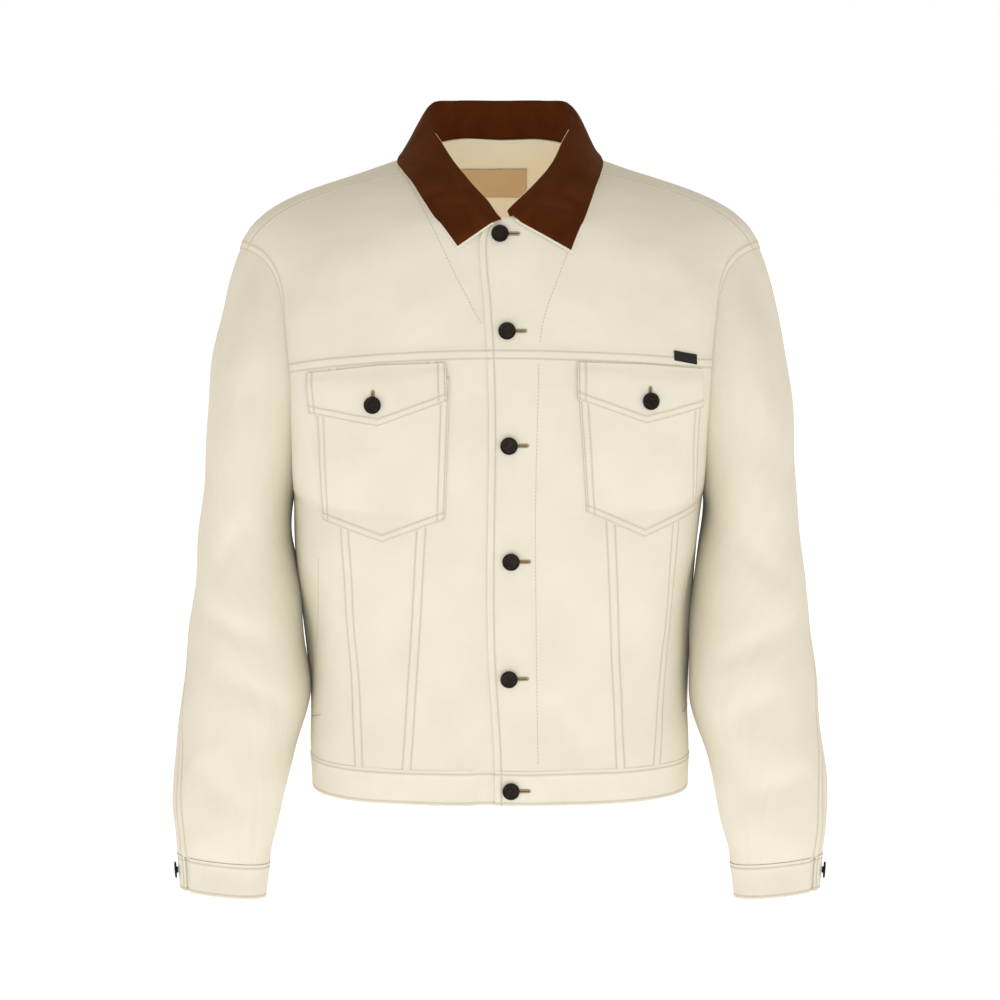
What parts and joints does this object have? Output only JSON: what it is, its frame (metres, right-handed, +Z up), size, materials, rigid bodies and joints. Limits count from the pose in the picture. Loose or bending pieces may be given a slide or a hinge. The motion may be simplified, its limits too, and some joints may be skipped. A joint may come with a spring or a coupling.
{
  "type": "denim jacket",
  "caption": "Boxy buttoned trucker jacket in cream twill with a brown fold-over collar, pointed chest pockets with flaps, slanting front seams and a hem band, filled out and hollow.",
  "frame": {"origin": "on the centre line, level with where the neckline meets the shoulders, at the middle of the neck opening: where the wearer holds it", "axes": "+Z up towards the collar, -Y the way the front faces, +X the right of the jacket seen from the front"},
  "size_m": [0.6366, 0.2841, 0.7737],
  "materials": {
    "twill": "matt cream twill",
    "band": "matt cream twill, double",
    "nap": "matt brown nap",
    "label": "matt beige weave",
    "tab": "matt black weave",
    "bronze": "dark satin bronze"
  },
  "bodies": {
    "root": {"front_yoke_left": "twill", "centre_front_left": "twill", "pocket_panel_left": "twill", "side_front_left": "twill", "top_sleeve_left": "twill", "under_sleeve_left": "twill", "cuff_left": "band", "pocket_left": "twill", "flap_left": "twill", "flap_button_left": "bronze", "cuff_button_left": "bronze", "front_yoke_right": "twill", "centre_front_right": "twill", "pocket_panel_right": "twill", "side_front_right": "twill", "top_sleeve_right": "twill", "under_sleeve_right": "twill", "cuff_right": "band", "pocket_right": "twill", "flap_right": "twill", "flap_button_right": "bronze", "cuff_button_right": "bronze", "back_yoke": "twill", "back": "twill", "hem_band": "band", "collar": "nap", "under_collar": "twill", "tab": "tab", "neck_label": "label", "front_button_1": "bronze", "front_button_2": "bronze", "front_button_3": "bronze", "front_button_4": "bronze", "front_button_5": "bronze", "front_button_6": "bronze"}
  },
  "joints": []
}
